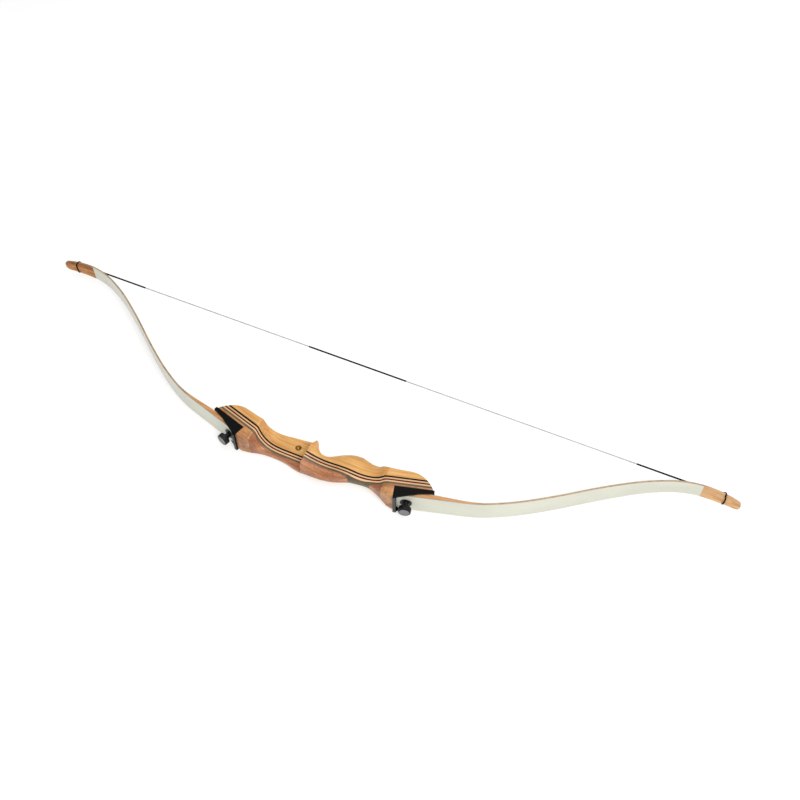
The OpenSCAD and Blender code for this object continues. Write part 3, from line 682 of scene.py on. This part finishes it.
@dataclass
class Bowstring:
    """Strands, their three servings and a loop for each limb tip.

    Places are measured along the string from its middle.
    """

    strand_radius: float = 0.0013
    serving_radius: float = 0.0018
    # Where a loop splits
    split: float = 0.7118
    # Bundles of strands round the string, the depth of the grooves between them as a share of the
    # radius, and the length and steps of one full twist
    lobes: int = 9
    groove: float = 0.18
    twist: float = 0.038
    twist_steps: int = 12
    # Thread of the servings: its pitch, how deep its flanks and the bed between two turns lie, and
    # the faces round it
    thread: float = 0.00055
    flank: float = 0.00012
    bed: float = 0.00014
    winding_steps: int = 16
    # Radius of a loop between two turns of its thread, as a share, and how finely its route is smoothed
    waist: float = 0.9
    route_steps: int = 24
    # Half of a loop's route, from the split, over one side of the belly, to the back of the tip
    loop_points: tuple[Vec, ...] = (
        (0.71195, 0.0, 0.0014), (0.7148, 0.0, 0.0014), (0.7208, -0.0002, 0.0034),
        (0.72793, -0.0025, 0.01065), (0.7322, -0.0028, 0.01305), (0.73418, -0.0051, 0.01315),
        (0.73408, -0.0062, 0.01305), (0.73389, -0.0083, 0.01305), (0.73372, -0.0101, 0.01315),
        (0.73358, -0.01166, 0.01285), (0.73411, -0.01236, 0.01135), (0.7351, -0.01246, 0.00905),
        (0.7357, -0.01246, 0.0015),
    )

    def strands(self, material: bpy.types.Material) -> bpy.types.Object:
        """Builds the twisted bundle of strands.

        Args:
            material: Finish of the strands.

        Returns:
            The bundle.
        """
        mesh = bmesh.new()
        points = 4 * self.lobes
        turn = Matrix.Rotation(math.pi / 2, 4, "Y")
        bmesh.ops.create_circle(mesh, radius=self.strand_radius, segments=points, matrix=turn)
        mesh.verts.ensure_lookup_table()
        for number, vert in enumerate(mesh.verts):
            vert.co *= 1 - self.groove * (1 - abs(math.sin(math.pi * number / 4)))
        length = 2 * self.split
        turns = length / self.twist
        steps = round(turns * self.twist_steps)
        bmesh.ops.spin(
            mesh, geom=mesh.verts[:] + mesh.edges[:], cent=(0, 0, 0), axis=(1, 0, 0),
            dvec=(length / steps, 0, 0), angle=turns * 2 * math.pi, steps=steps, use_duplicate=False,
        )
        rims = [edge for edge in mesh.edges if edge.is_boundary]
        bmesh.ops.holes_fill(mesh, edges=rims, sides=points)
        turn_outwards(mesh)
        bmesh.ops.translate(mesh, verts=mesh.verts[:], vec=along_string(-self.split))
        return piece_from("string_strands", mesh, material)

    def serving(self, name: str, start: float, stop: float, material: bpy.types.Material) -> bpy.types.Object:
        """Winds thread round the strands between two places.

        Args:
            name: Name of the piece.
            start: End nearer the upper limb.
            stop: End nearer the lower limb.
            material: Finish of the thread.

        Returns:
            The winding.
        """
        turns = round((stop - start) / self.thread)
        flank = self.serving_radius - self.flank
        profile = (
            (0.2, flank), (0.5, self.serving_radius), (0.8, flank), (1.0, self.serving_radius - self.bed),
        )
        mesh = wound(profile, (stop - start) / turns, turns, self.winding_steps)
        bmesh.ops.translate(mesh, verts=mesh.verts[:], vec=along_string(start))
        return piece_from(name, mesh, material)

    def loop_line(self, end: End) -> list[Vector]:
        """Follows the smooth route of one loop.

        Args:
            end: End of the bow.

        Returns:
            Points along the loop, two for each round of its thread.
        """
        half = [Vector(point) for point in self.loop_points]
        route = half + [Vector((p.x, p.y, -p.z)) for p in reversed(half)]
        smooth: list[Vector] = []
        for i in range(len(route) - 1):
            a, b = route[max(i - 1, 0)], route[i]
            c, d = route[i + 1], route[min(i + 2, len(route) - 1)]
            for k in range(self.route_steps):
                t = k / self.route_steps
                smooth.append((2 * b + t * (c - a) + t * t * (2 * a - 5 * b + 4 * c - d)
                               + t * t * t * (3 * b - 3 * c + d - a)) / 2)
        smooth.append(route[-1])
        travelled = [0.0]
        for a, b in zip(smooth, smooth[1:]):
            travelled.append(travelled[-1] + (b - a).length)
        count = 2 * round(travelled[-1] / self.thread)
        line: list[Vector] = []
        i = 0
        for k in range(count + 1):
            want = travelled[-1] * k / count
            while i < len(smooth) - 2 and travelled[i + 1] < want:
                i += 1
            share = (want - travelled[i]) / (travelled[i + 1] - travelled[i])
            line.append(smooth[i].lerp(smooth[i + 1], share))
        return [along_string(end.value * p.x, p.y, p.z) for p in line]

    def loop(self, end: End, material: bpy.types.Material) -> tuple[bpy.types.Object, float]:
        """Builds the served loop round one limb tip.

        Args:
            end: End of the bow.
            material: Finish of the thread.

        Returns:
            The loop as a curve, and its length.
        """
        line = self.loop_line(end)
        data = bpy.data.curves.new(f"{end.word}_loop", "CURVE")
        data.dimensions = "3D"
        data.bevel_depth = self.strand_radius
        data.bevel_resolution = 3
        data.use_fill_caps = True
        spline = data.splines.new("POLY")
        spline.points.add(len(line) - 1)
        for number, (point, spot) in enumerate(zip(spline.points, line)):
            point.co = (*spot, 1.0)
            point.radius = 1.0 if number % 2 else self.waist
        piece = bpy.data.objects.new(f"{end.word}_loop", data)
        bpy.context.scene.collection.objects.link(piece)
        skin(piece, material)
        return piece, sum((b - a).length for a, b in zip(line, line[1:]))

    def build(self) -> None:
        """Builds the string and puts it on the bow."""
        # Waxed polyester strands: off-white and matt, with a slow twist
        white = Thread("waxed polyester strands", "bdbebc", "8f908e", 0.55, 0.1).make()
        # Nylon thread wound tight: black and dull, with a rib for each turn
        black = Thread("nylon serving thread", "0e0e0f", "060606", 0.7, 0.0, 0.06).make()
        strands = self.strands(white)
        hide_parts("bowstring")
        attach(strands, "bow")
        for node in ("upper_end_serving", "centre_serving", "lower_end_serving"):
            low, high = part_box(node)
            piece = self.serving(node.replace("serving", "winding"), low.x, high.x, black)
            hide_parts(node)
            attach(piece, "bow")
            LOG.info("%s: %.0f mm of wound thread", piece.name, 1000 * (high.x - low.x))
        LOG.info("string_strands: %.0f mm long", 2000 * self.split)
        for end in End:
            loop, length = self.loop(end, black)
            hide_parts(f"{end.word}_string_loop")
            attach(loop, "bow")
            start = self.loop_line(end)[0]
            LOG.info("%s: %.0f mm long", loop.name, 1000 * length)


@dataclass
class Bore:
    """Thread inside one bushing of the riser, over the length of the mount that the record gives.

    The pitch is that of 24 turns to the inch. The height and half width of the ridge are shares of
    it, and the ridge's root is sunk a little in the wall.
    """

    name: str
    pitch: float = 0.00106
    height: float = 0.45
    half_width: float = 0.42
    sink: float = 0.0001
    steps: int = 24
    crease: float = 30

    def build(self, material: bpy.types.Material) -> None:
        """Winds one ridge up the bore.

        Args:
            material: Finish of the bushing.
        """
        mount = mounts[f"{self.name}_bushing"]
        length, radius = mount["dims"]["length_mm"] / 1000, mount["dims"]["r_mm"] / 1000
        foot = Vector(mount["pos_m"]) - Vector((0, 0, length / 2))
        rounds = int(length / self.pitch) - 1
        root = radius + self.sink
        crest = radius - self.height * self.pitch
        mesh = bmesh.new()
        ridge = [(root, -self.half_width), (crest, 0.0), (root, self.half_width)]
        rows = [mesh.verts.new((reach, 0.0, (0.5 + share) * self.pitch)) for reach, share in ridge]
        mesh.faces.new(rows)
        bmesh.ops.spin(
            mesh, geom=mesh.faces[:], cent=(0, 0, 0), axis=(0, 0, 1), dvec=(0, 0, self.pitch / self.steps),
            angle=2 * math.pi * rounds, steps=self.steps * rounds, use_duplicate=False,
        )
        turn_outwards(mesh)
        bmesh.ops.translate(mesh, verts=mesh.verts[:], vec=foot)
        piece = piece_from(f"{self.name}_thread", mesh, material)
        split = piece.modifiers.new("sharp", "EDGE_SPLIT")
        split.split_angle = math.radians(self.crease)
        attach(piece, "bow")
        LOG.info("%s: %d turns", piece.name, rounds)


@dataclass
class Riser:
    """Glued wooden handle with its metal bushings, inserts and pins."""

    # Angle in degrees past which an edge of the wood stays sharp, and the rounding of the metal's edges
    crease: float = 38
    metal_edge: float = 0.0003

    def dress(self, steel: bpy.types.Material) -> None:
        """Gives every node of the riser its finish.

        Args:
            steel: Finish of the locating pins.
        """
        # Hard maple under satin lacquer: honey coloured, with fine growth lines and a soft shine; short of the
        # crease before each pocket it darkens with painted shade, and past the crease it is painted a little paler
        maple = TurningWood(
            "lacquered hard maple", "dcae6c", "cf9854", "b67a3c", patch=0.12, fleck=0.15,
            turn=0.1375, shade_from=0.108, shade=0.45, past=("e0b272", "d39d59", "ba7f41"),
        )
        # Maple veneers, dyed through: black and maroon, too deep to show lines or much shine
        black = Wood("black dyed maple veneer", "2a1c0a", "1b1206", "100a03", coat=0.03, gloss=0.12)
        maroon = Wood("maroon dyed maple veneer", "741b0d", "561107", "3a0a04", coat=0.03, gloss=0.12)
        # The same veneer dyed olive, and undyed: fine lines and the lacquer's soft shine
        olive = Wood("olive dyed maple veneer", "6c5c40", "56482f", "3e331e")
        cream = Wood("undyed maple veneer", "dfbc92", "d2aa7e", "bc9265")
        # Sapele under the same lacquer: reddish brown and open pored, with a mottled figure; paler past the crease
        # before each pocket, and darkened with painted shade short of it
        hardwood = TurningWood(
            "lacquered sapele", "c68a5c", "ad7049", "7f4a30", line=7, patch=0.2, fleck=0.6,
            fleck_size=(8, 3.4, 3.4), pore=0.5,
        )
        woods = {
            "riser_maple_face": maple,
            "riser_black_lamination": black,
            "riser_belly_cream_lamination": cream,
            "riser_maroon_lamination": maroon,
            "riser_back_cream_lamination": cream,
            "riser_olive_lamination": olive,
            "riser_upper_hardwood_back": hardwood,
            "riser_lower_hardwood_back": hardwood,
        }
        made = {wood: wood.make() for wood in dict.fromkeys(woods.values())}
        for node, wood in woods.items():
            piece = frame["nodes"][node]
            skin(piece, made[wood])
            soften(piece, angle=self.crease)
            LOG.info("%s: %s", node, wood.name)
        # Turned brass: yellow where it is bright, brown where it has tarnished
        brass = Metal("turned brass", "a8813f", "5c4220", 0.32).make()
        for node in ("plunger_bushing", "sight_bushings", "upper_bolt_insert", "lower_bolt_insert"):
            skin(frame["nodes"][node], brass)
            soften(frame["nodes"][node], self.metal_edge)
        for node in ("upper_locating_pin", "lower_locating_pin"):
            skin(frame["nodes"][node], steel)
            soften(frame["nodes"][node])
        LOG.info("bushings, inserts and pins: metal")
        for name in ("plunger", "near_sight", "far_sight"):
            Bore(name).build(brass)


@dataclass
class Limbs:
    """The two laminated limbs with their tip overlays and pockets."""

    # Angle in degrees past which an edge stays sharp, and the rounding of the pockets' edges
    crease: float = 30
    pocket_edge: float = 0.0006

    def dress(self) -> None:
        """Gives every node of the limbs its finish."""
        # Glass fibre laminate, pressed smooth: pale grey green, with straight fibres and a clear shine
        facing = FibreGlass("glass fibre laminate", "c6c6b6", "bcbdae", "a3967f").make()
        # Beech, sanded and lacquered: warm orange brown
        wedge = Wood("lacquered beech", "d89c5e", "c4874a", "a0662f", Flow.LENGTH, 4).make()
        # Maple core, seen as the limb's edge: browner, with the overlay's tone at the tip
        cores = {
            end: TurningWood(
                f"{end.word} maple core", "bd9a76", "a98764", "8c6d4e", Flow.LENGTH, 4,
                turn=0.695, shade_from=0.6, shade=0.1, past=past,
            ).make()
            for end, past in (
                (End.UPPER, ("a9683a", "8a4f2a", "5e3216")), (End.LOWER, ("d8a87a", "c69468", "a3734a")),
            )
        }
        # Beech overlays, one stained red and the other plain: both take painted shade along the rounded edge
        overlays = {
            End.UPPER: RimmedWood(
                "red stained beech", "cf9862", "b07745", "6c3817", Flow.LENGTH, 3, fleck=0.3, coat=0.0,
                gloss=0.15,
            ).make(),
            End.LOWER: RimmedWood(
                "oiled beech", "dcb17c", "cb9a64", "a67647", Flow.LENGTH, 3, fleck=0.2,
                rim=0.4, stain="b98a55", end_stain="b98a55",
            ).make(),
        }
        # Glass filled nylon, moulded: nearly black and finely grained, with a painted grey highlight on its rims
        # that look towards -Y
        pocket = Moulded("glass filled nylon", "08090a", "111213", 0.42, gloss=0.08, rubbed_rim=0.5).make()
        for end in End:
            for part in ("back_glass", "belly_glass"):
                skin(frame["nodes"][f"{end.word}_limb_{part}"], facing)
                soften(frame["nodes"][f"{end.word}_limb_{part}"], angle=self.crease)
            for part, wood in (("core", cores[end]), ("wedge", wedge)):
                skin(frame["nodes"][f"{end.word}_limb_{part}"], wood)
                soften(frame["nodes"][f"{end.word}_limb_{part}"], angle=self.crease)
            skin(frame["nodes"][f"{end.word}_tip_overlay"], overlays[end])
            soften(frame["nodes"][f"{end.word}_tip_overlay"], angle=self.crease)
            skin(frame["nodes"][f"{end.word}_limb_pocket"], pocket)
            soften(frame["nodes"][f"{end.word}_limb_pocket"], self.pocket_edge)
            LOG.info("%s limb and pocket dressed", end.word)


@dataclass
class LimbBolt:
    """Knurled knob, threaded stud and washer plate that hold one limb.

    Heights are measured along the bolt's axis from the pad.
    """

    end: End
    radius: float = 0.0122
    flute: float = 0.0005
    flutes: int = 36
    neck: float = 0.0055
    neck_start: float = 0.02035
    knob_start: float = 0.0297
    face: float = 0.0407
    # Width of the rounded rim round the outer face, which is painted grey as a reflection, and how far the face
    # lies below it
    rim: float = 0.0026
    sunk: float = 0.0004
    # Stud with a 5/16-18 thread, whose depth is a share of its pitch
    stud_radius: float = 0.00397
    stud_start: float = -0.015
    pitch: float = 0.0014111
    turns: int = 33
    thread_depth: float = 0.613
    thread_steps: int = 24
    # Angle in degrees past which an edge stays sharp, and the rounding of the washer's edges
    crease: float = 28
    washer_edge: float = 0.0003

    @property
    def axis(self) -> Vector:
        """Direction out of the pad along the bolt."""
        return Vector(joints[f"{self.end.word}_bolt_turn"]["axis"])

    @property
    def foot(self) -> Vector:
        """Point where the bolt's axis leaves the pad."""
        return Vector(joints[f"{self.end.word}_bolt_turn"]["pos_m"])

    def knob(self, side: bpy.types.Material, face: bpy.types.Material) -> bpy.types.Object:
        """Turns the knob and cuts the flutes in its rim.

        Args:
            side: Finish of the knob.
            face: Grey of its outer face, a painted reflection.

        Returns:
            The knob.
        """
        # Half outline as radius and height, from the foot of the neck to the middle of the outer face
        outline = [
            (0.0, self.neck_start), (self.neck + 0.001, self.neck_start),
            (self.neck + 0.001, self.neck_start + 0.0012), (self.neck, self.neck_start + 0.0023),
            (self.neck, self.knob_start - 0.0015), (self.neck + 0.0006, self.knob_start - 0.0005),
            (self.neck + 0.002, self.knob_start), (self.radius - 0.0012, self.knob_start),
            (self.radius - 0.0004, self.knob_start + 0.0004), (self.radius, self.knob_start + 0.0012),
            (self.radius, self.face - 0.0018), (self.radius - 0.0003, self.face - 0.0009),
            (self.radius - 0.0011, self.face - 0.0002), (self.radius - 0.0018, self.face),
            (self.radius - self.rim, self.face), (self.radius - self.rim - self.sunk, self.face - self.sunk),
            (0.0, self.face - self.sunk),
        ]
        mesh = bmesh.new()
        rows = [mesh.verts.new((r, 0.0, n)) for r, n in outline]
        for a, b in zip(rows, rows[1:]):
            mesh.edges.new((a, b))
        steps = 2 * self.flutes
        bmesh.ops.spin(
            mesh, geom=mesh.verts[:] + mesh.edges[:], cent=(0, 0, 0), axis=(0, 0, 1),
            angle=2 * math.pi, steps=steps, use_merge=True, use_duplicate=False,
        )
        bmesh.ops.remove_doubles(mesh, verts=mesh.verts[:], dist=MERGE)
        for vert in mesh.verts:
            reach = vert.co.xy.length
            step = round(math.atan2(vert.co.y, vert.co.x) / (2 * math.pi) * steps)
            if reach > self.radius - MERGE and step % 2:
                vert.co.xy *= (reach - self.flute) / reach
        turn_outwards(mesh)
        # Faces of the sunk outer face take the second material, grey as a painted reflection
        for part in mesh.faces:
            middle = part.calc_center_median()
            part.material_index = int(
                middle.z > self.face - 1.5 * self.sunk and middle.xy.length < self.radius - self.rim)
        turn = Vector((0, 0, 1)).rotation_difference(self.axis).to_matrix().to_4x4()
        bmesh.ops.transform(mesh, matrix=Matrix.Translation(self.foot) @ turn, verts=mesh.verts[:])
        piece = piece_from(f"{self.end.word}_knurled_knob", mesh, side)
        piece.data.materials.append(face)
        return piece

    def stud(self, material: bpy.types.Material) -> bpy.types.Object:
        """Cuts the thread of the stud.

        Args:
            material: Finish of the stud.

        Returns:
            The stud.
        """
        root = self.stud_radius - self.thread_depth * self.pitch
        profile = (
            (0.12, root), (0.44, self.stud_radius), (0.56, self.stud_radius), (0.88, root), (1.0, root),
        )
        mesh = wound(profile, self.pitch, self.turns, self.thread_steps)
        bmesh.ops.translate(mesh, verts=mesh.verts[:], vec=(self.stud_start, 0, 0))
        turn = Vector((1, 0, 0)).rotation_difference(self.axis).to_matrix().to_4x4()
        bmesh.ops.transform(mesh, matrix=Matrix.Translation(self.foot) @ turn, verts=mesh.verts[:])
        return piece_from(f"{self.end.word}_threaded_stud", mesh, material)

    def build(
        self, side: bpy.types.Material, face: bpy.types.Material, steel: bpy.types.Material,
    ) -> None:
        """Builds the knob and its stud, and dresses the washer plate under them.

        Args:
            side: Finish of knob and washer.
            face: Grey of the knob's outer face, a painted reflection.
            steel: Finish of the stud.
        """
        knob = self.knob(side, face)
        stud = self.stud(steel)
        for piece in (knob, stud):
            split = piece.modifiers.new("sharp", "EDGE_SPLIT")
            split.split_angle = math.radians(self.crease)
        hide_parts(f"{self.end.word}_limb_bolt")
        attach(stud, f"{self.end.word}_knob")
        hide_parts(f"{self.end.word}_bolt_knob")
        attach(knob, f"{self.end.word}_knob")
        washer = frame["nodes"][f"{self.end.word}_bolt_washer"]
        skin(washer, side)
        soften(washer, self.washer_edge)
        LOG.info("%s: %d flutes, and %d turns of thread", knob.name, self.flutes, self.turns)


@dataclass
class Studio:
    """Floor, lights and the camera at the photograph's place."""

    eye: Vec = (0.5782, -0.9944, 1.6206)
    azimuth: float = math.radians(24.5)
    elevation: float = math.radians(53.05)
    lens: float = 44.28
    sensor: float = 36
    # Reach of the floor, and how far it lies under the bow so that no two faces lie on each other
    floor_reach: float = 14
    floor_gap: float = 0.0004
    # Name, place, side and power of each soft lamp
    lamps: tuple[tuple[str, Vec, float, float], ...] = (
        ("key", (1.9, -1.6, 2.6), 1.6, 82), ("top", (0.5, 0.7, 3.2), 2.4, 36),
    )
    surround: float = 0.56

    def camera(self) -> None:
        """Sets the camera up without roll."""
        data = bpy.data.cameras.new("camera")
        data.lens = self.lens
        data.sensor_width = self.sensor
        data.clip_start = 0.01
        data.clip_end = 100
        camera = bpy.data.objects.new("camera", data)
        bpy.context.scene.collection.objects.link(camera)
        camera.location = self.eye
        camera.rotation_euler = (math.pi / 2 - self.elevation, 0, self.azimuth)
        bpy.context.scene.camera = camera

    def floor(self) -> None:
        """Lays a plain pale floor under the bow."""
        mesh = bmesh.new()
        bmesh.ops.create_grid(mesh, x_segments=1, y_segments=1, size=self.floor_reach)
        bmesh.ops.translate(mesh, verts=mesh.verts[:], vec=(0, 0, -self.floor_gap))
        sheet = Sheet("floor")
        mottle = sheet.pattern(sheet.place(Flow.LENGTH), (500, 500, 500), detail=2)
        stops = [(0.3, "c0c0bf"), (0.7, "c4c4c3")]
        sheet.join(sheet.shader, {
            "Base Color": sheet.add("ShaderNodeValToRGB", {"Fac": mottle}, stops=stops),
            "Roughness": 0.9, "Emission Color": (1.0, 1.0, 1.0, 1.0), "Emission Strength": 0.5,
        })
        piece_from("floor", mesh, sheet.material)

    def lamp(self, name: str, spot: Vec, size: float, power: float) -> None:
        """Hangs one soft lamp that shines at the bow.

        Args:
            name: Name of the lamp.
            spot: Its place in metres.
            size: Side of its square face in metres.
            power: Power in watts.
        """
        data = bpy.data.lights.new(name, "AREA")
        data.shape = "SQUARE"
        data.size = size
        data.energy = power
        lamp = bpy.data.objects.new(name, data)
        bpy.context.scene.collection.objects.link(lamp)
        lamp.location = spot
        lamp.rotation_euler = (-Vector(spot)).to_track_quat("-Z", "Y").to_euler()

    def build(self) -> None:
        """Sets up floor, lamps and the pale surroundings."""
        self.floor()
        for name, spot, size, power in self.lamps:
            self.lamp(name, spot, size, power)
        world = bpy.data.worlds.new("studio")
        world.use_nodes = True
        surround = world.node_tree.nodes["Background"]
        surround.inputs["Color"].default_value = (1, 1, 1, 1)
        surround.inputs["Strength"].default_value = self.surround
        bpy.context.scene.world = world
        bpy.context.scene.view_settings.view_transform = "Standard"


def main() -> None:
    """Builds and dresses the whole bow."""
    logging.basicConfig(level=logging.INFO, format="%(message)s")
    studio = Studio()
    studio.camera()
    Bowstring().build()
    # Zinc plated steel: pale grey, bright on the flanks of its threads
    steel = Metal("zinc plated steel", "b9babc", "7f8082", 0.3).make()
    Riser().dress(steel)
    Limbs().dress()
    # Phenolic resin, moulded: black with a dull shine, and its outer face painted grey as a reflection of the
    # bright surroundings
    side = Moulded("moulded phenolic", "0b0c0d", "18191b", 0.3, 0.00003, 0.25).make()
    face = Moulded("sanded phenolic", "6a6b6b", "848584", 0.4, 0.00006, 0.4).make()
    for end in End:
        LimbBolt(end).build(side, face, steel)
    studio.build()


if __name__ == "__main__":
    main()
